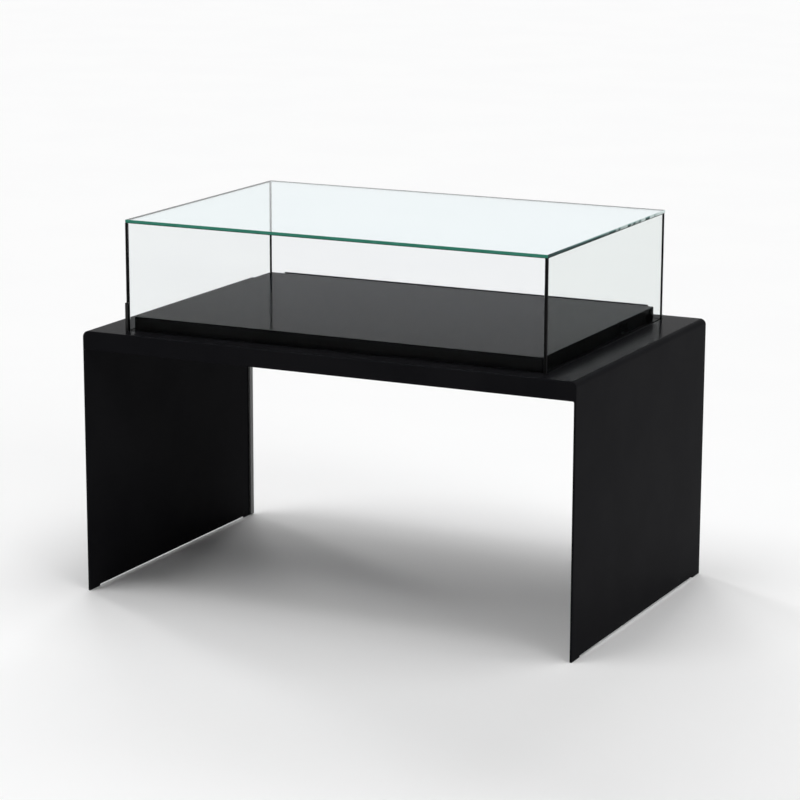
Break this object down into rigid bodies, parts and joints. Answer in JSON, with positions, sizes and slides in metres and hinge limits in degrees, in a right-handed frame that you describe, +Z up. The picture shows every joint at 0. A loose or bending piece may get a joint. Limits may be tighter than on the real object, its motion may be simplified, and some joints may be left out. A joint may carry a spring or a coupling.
{
  "type": "museum display case",
  "caption": "Table display case: black bent-plate table with thin slab legs, raised deck, and a frameless glass hood that tilts back on a long rear hinge and is held shut by a corner bolt.",
  "frame": {"origin": "on the floor under the middle of the table", "axes": "+X along the table, -Y to the front, +Z up"},
  "size_m": [1.4, 0.895, 1.002],
  "materials": {
    "black_coat": "satin black powder coat",
    "deck_lacquer": "gloss black lacquer",
    "glass": "clear polished",
    "seal": "matte black",
    "hinge_black": "black oxide, satin",
    "pin_steel": "turned steel",
    "cover_grey": "satin grey",
    "pad": "matte black",
    "batten": "planed, unfinished"
  },
  "bodies": {
    "table": {"table_shell": "black_coat", "front_apron": "black_coat", "rear_apron": "black_coat", "cross_rib_1": "black_coat", "cross_rib_2": "black_coat", "cross_rib_3": "black_coat", "foot_pad_front_left": "pad", "foot_pad_front_right": "pad", "foot_pad_rear_left": "pad", "foot_pad_rear_right": "pad", "cable_cover": "cover_grey", "deck_tray": "deck_lacquer", "deck_batten_1": "batten", "deck_batten_2": "batten", "deck_batten_3": "batten", "gasket_front": "seal", "gasket_rear": "seal", "gasket_left": "seal", "gasket_right": "seal", "hinge_fixed_leaf": "hinge_black", "hinge_pin": "pin_steel", "hinge_stop_left": "seal", "hinge_stop_right": "seal", "bolt_keeper": "hinge_black", "hinge_screw_1": "pin_steel", "hinge_screw_2": "pin_steel", "hinge_screw_3": "pin_steel", "hinge_screw_4": "pin_steel", "hinge_screw_5": "pin_steel", "hinge_screw_6": "pin_steel", "hinge_screw_7": "pin_steel", "hinge_screw_8": "pin_steel"},
    "hood": {"glass_top": "glass", "glass_front": "glass", "glass_rear": "glass", "glass_left": "glass", "glass_right": "glass", "corner_seal_front_left": "seal", "corner_seal_front_right": "seal", "corner_seal_rear_left": "seal", "corner_seal_rear_right": "seal", "hinge_moving_leaf": "hinge_black", "lock_housing": "hinge_black", "lock_cap": "hinge_black"},
    "spindle": {"lock_spindle": "pin_steel"},
    "bolt": {"lock_bolt": "pin_steel"}
  },
  "joints": [
    {"name": "hood_tilt", "type": "hinge", "parent": "table", "child": "hood", "pos_m": [0, 0.4, 0.714], "axis": [-1, 0, 0], "range_deg": [0, 70]},
    {"name": "lock_turn", "type": "hinge", "parent": "hood", "child": "spindle", "pos_m": [-0.593, -0.3983, 0.777], "axis": [0, 0, -1], "range_deg": [0, 720]},
    {"name": "bolt_drop", "type": "slide", "parent": "hood", "child": "bolt", "axis": [0, 0, -1], "range_m": [0, 0.01]}
  ],
  "couplings": [
    {"joint": "lock_turn", "follows": "bolt_drop", "rad_per_m": 1256.6}
  ]
}
